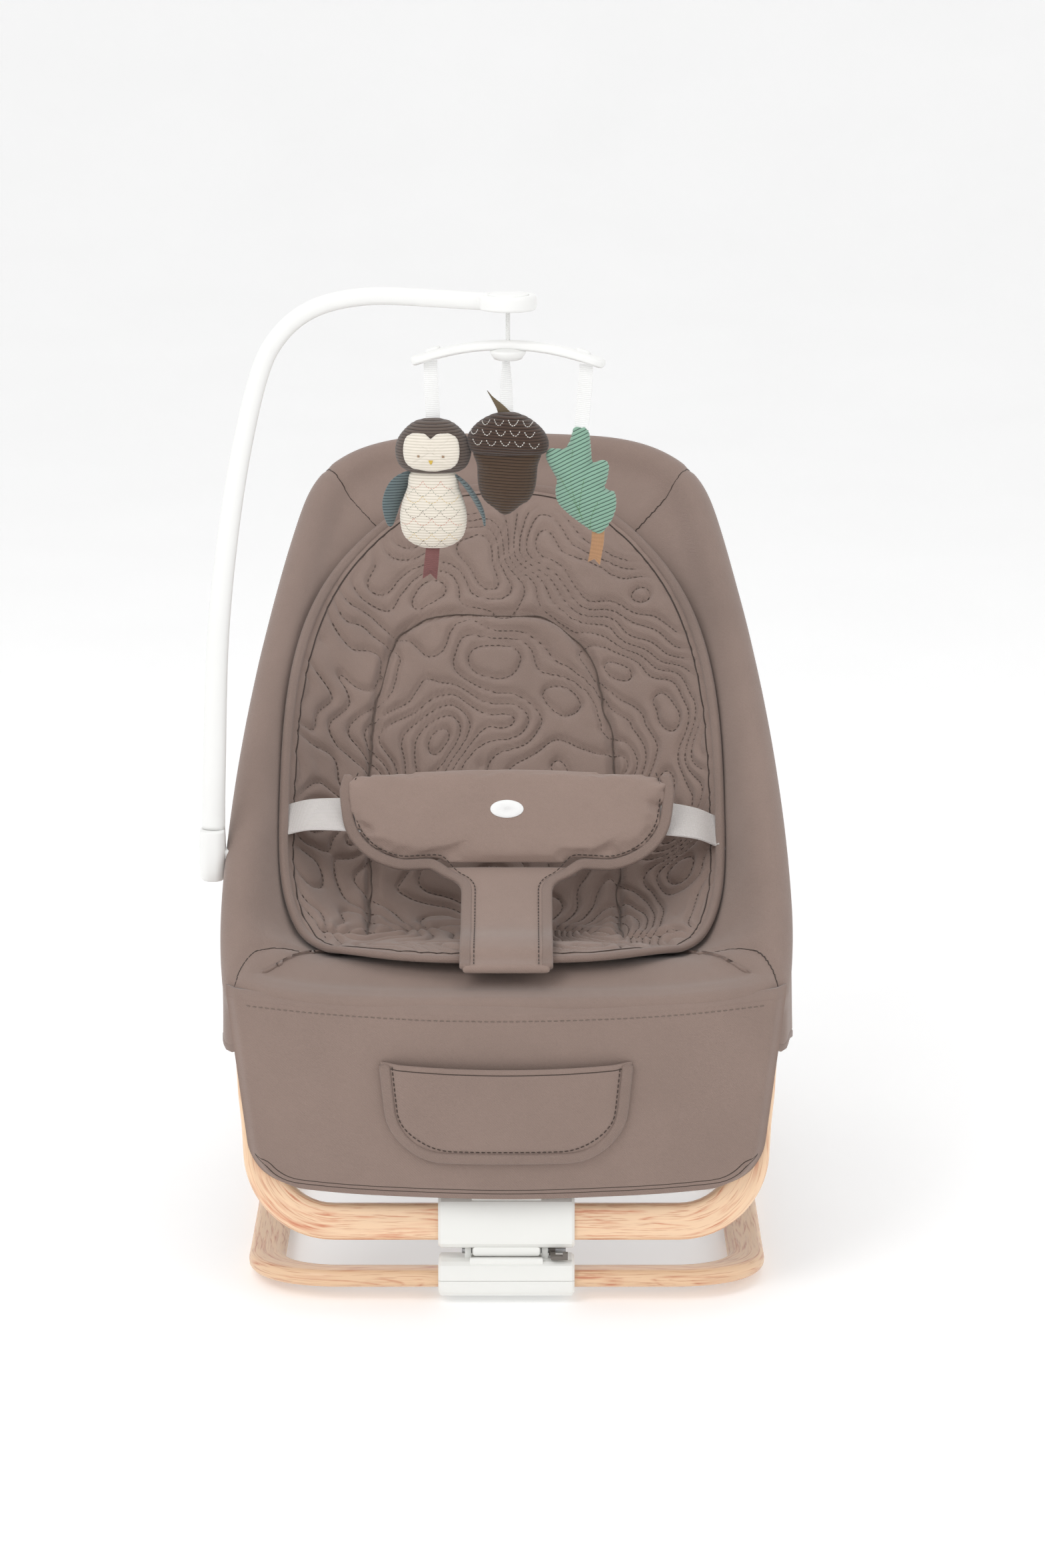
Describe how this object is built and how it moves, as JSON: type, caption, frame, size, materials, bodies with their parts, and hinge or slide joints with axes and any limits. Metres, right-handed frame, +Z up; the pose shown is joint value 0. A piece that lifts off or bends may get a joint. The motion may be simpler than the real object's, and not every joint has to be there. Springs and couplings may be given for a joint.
{
  "type": "baby bouncer seat",
  "caption": "Baby bouncer seat: a padded reclining bucket on two wooden loops joined by a sprung front hinge, with a restraint, a front pocket and a toy arm with a hanging mobile.",
  "frame": {"origin": "middle of the whole object's footprint, on the floor it stands on", "axes": "+Z up, -Y towards the baby's feet and the viewer (the front), +X to the viewer's right; the toy arm is on the -X side, called left"},
  "size_m": [0.487, 0.637, 0.7931],
  "materials": {
    "oak": "oiled, fine pale grain",
    "white_plastic": "satin moulded",
    "grey_plastic": "satin moulded",
    "steel": "plain",
    "ring_tube": "drawn tube",
    "rubber": "matt",
    "taupe_fabric": "smooth knitted cover over thin foam",
    "quilted_fabric": "quilted jersey with sewn contour lines",
    "webbing": "flat woven tape",
    "cream_corduroy": "fine corduroy",
    "brown_corduroy": "fine corduroy",
    "grey_brown_corduroy": "fine corduroy",
    "green_corduroy": "fine corduroy",
    "blue_fabric": "fine corduroy",
    "white_ribbon": "woven grosgrain ribbon",
    "maroon_ribbon": "woven ribbon",
    "tan_ribbon": "woven ribbon",
    "white_cord": "braided cord"
  },
  "bodies": {
    "base": {"lower_loop": "oak", "foot_pad_front_left": "rubber", "foot_pad_rear_left": "rubber", "foot_pad_front_right": "rubber", "foot_pad_rear_right": "rubber", "lower_sleeve_top": "white_plastic", "lower_sleeve_bottom": "white_plastic"},
    "spring_link": {"hinge_barrel": "white_plastic", "hinge_pin": "steel", "bounce_spring_left": "steel", "bounce_spring_right": "steel"},
    "latch": {"fold_latch": "grey_plastic"},
    "upper_frame": {"upper_loop": "oak", "upper_sleeve_front": "white_plastic", "upper_sleeve_rear": "white_plastic", "upper_sleeve_screw_left": "steel", "upper_sleeve_screw_right": "steel", "rail_hub_left": "white_plastic", "rail_hub_right": "white_plastic"},
    "seat": {"seat_ring": "ring_tube", "rim_cover": "taupe_fabric", "seat_bucket": "taupe_fabric", "seat_insert": "quilted_fabric", "seat_hub_left": "white_plastic", "seat_hub_right": "white_plastic", "recline_bolt_left": "steel", "recline_bolt_right": "steel", "front_apron": "taupe_fabric", "apron_pocket": "taupe_fabric", "side_skirt_left": "taupe_fabric", "side_skirt_right": "taupe_fabric", "waist_flap": "taupe_fabric", "crotch_strap": "taupe_fabric", "waist_strap_left": "webbing", "waist_strap_right": "webbing", "handle_bracket": "white_plastic", "toy_arm_socket": "white_plastic"},
    "recline_handle": {"recline_handle": "grey_plastic"},
    "toy_arm": {"toy_arm": "white_plastic", "arm_end_housing": "white_plastic", "arm_end_cap": "white_plastic"},
    "hanger": {"hanger_cord": "white_cord"},
    "mobile": {"mobile_bar": "white_plastic"},
    "owl": {"owl_ribbon": "white_ribbon", "owl_head": "grey_brown_corduroy", "owl_body": "cream_corduroy", "owl_wing_left": "blue_fabric", "owl_wing_right": "blue_fabric", "owl_tail": "maroon_ribbon"},
    "acorn": {"acorn_ribbon": "white_ribbon", "acorn_cap": "brown_corduroy", "acorn_nut": "brown_corduroy"},
    "leaf": {"leaf_ribbon": "white_ribbon", "leaf_body": "green_corduroy", "leaf_tail": "tan_ribbon"}
  },
  "joints": [
    {"name": "bounce_hinge", "type": "hinge", "parent": "base", "child": "spring_link", "pos_m": [0.00952, -0.2785, 0.04], "axis": [1, 0, 0], "range_deg": [-4, 3], "stiffness_Nm_per_rad": 260, "springref_deg": 2.86},
    {"name": "frame_fold", "type": "hinge", "parent": "spring_link", "child": "upper_frame", "pos_m": [0.00952, -0.2785, 0.04], "axis": [1, 0, 0], "range_deg": [-28, 0]},
    {"name": "latch_slide", "type": "slide", "parent": "spring_link", "child": "latch", "axis": [1, 0, 0], "range_m": [0, 0.004], "stiffness_N_per_m": 300},
    {"name": "seat_recline", "type": "hinge", "parent": "upper_frame", "child": "seat", "pos_m": [0.00952, -0.0535, 0.295], "axis": [1, 0, 0], "range_deg": [-16, 0]},
    {"name": "handle_slide", "type": "slide", "parent": "seat", "child": "recline_handle", "axis": [0, 0.8434, 0.5373], "range_m": [0, 0.007], "stiffness_N_per_m": 400},
    {"name": "toy_arm_swivel", "type": "hinge", "parent": "seat", "child": "toy_arm", "pos_m": [-0.23248, -0.1265, 0.34], "axis": [0, 0, 1], "range_deg": [-100, 0]},
    {"name": "cord_swing", "type": "hinge", "parent": "toy_arm", "child": "hanger", "pos_m": [0.01052, -0.0675, 0.778], "axis": [1, 0, 0], "range_deg": [-15, 15]},
    {"name": "mobile_spin", "type": "hinge", "parent": "hanger", "child": "mobile", "pos_m": [0.01052, -0.0675, 0.747], "axis": [0, 0, 1], "continuous": true},
    {"name": "owl_swing", "type": "hinge", "parent": "mobile", "child": "owl", "pos_m": [-0.05114, -0.06102, 0.72988], "axis": [0.9945, -0.1045, 0], "range_deg": [-20, 20]},
    {"name": "acorn_swing", "type": "hinge", "parent": "mobile", "child": "acorn", "pos_m": [0.01052, -0.0675, 0.7328], "axis": [0.9945, -0.1045, 0], "range_deg": [-20, 20]},
    {"name": "leaf_swing", "type": "hinge", "parent": "mobile", "child": "leaf", "pos_m": [0.07218, -0.07398, 0.72988], "axis": [0.9945, -0.1045, 0], "range_deg": [-20, 20]}
  ]
}
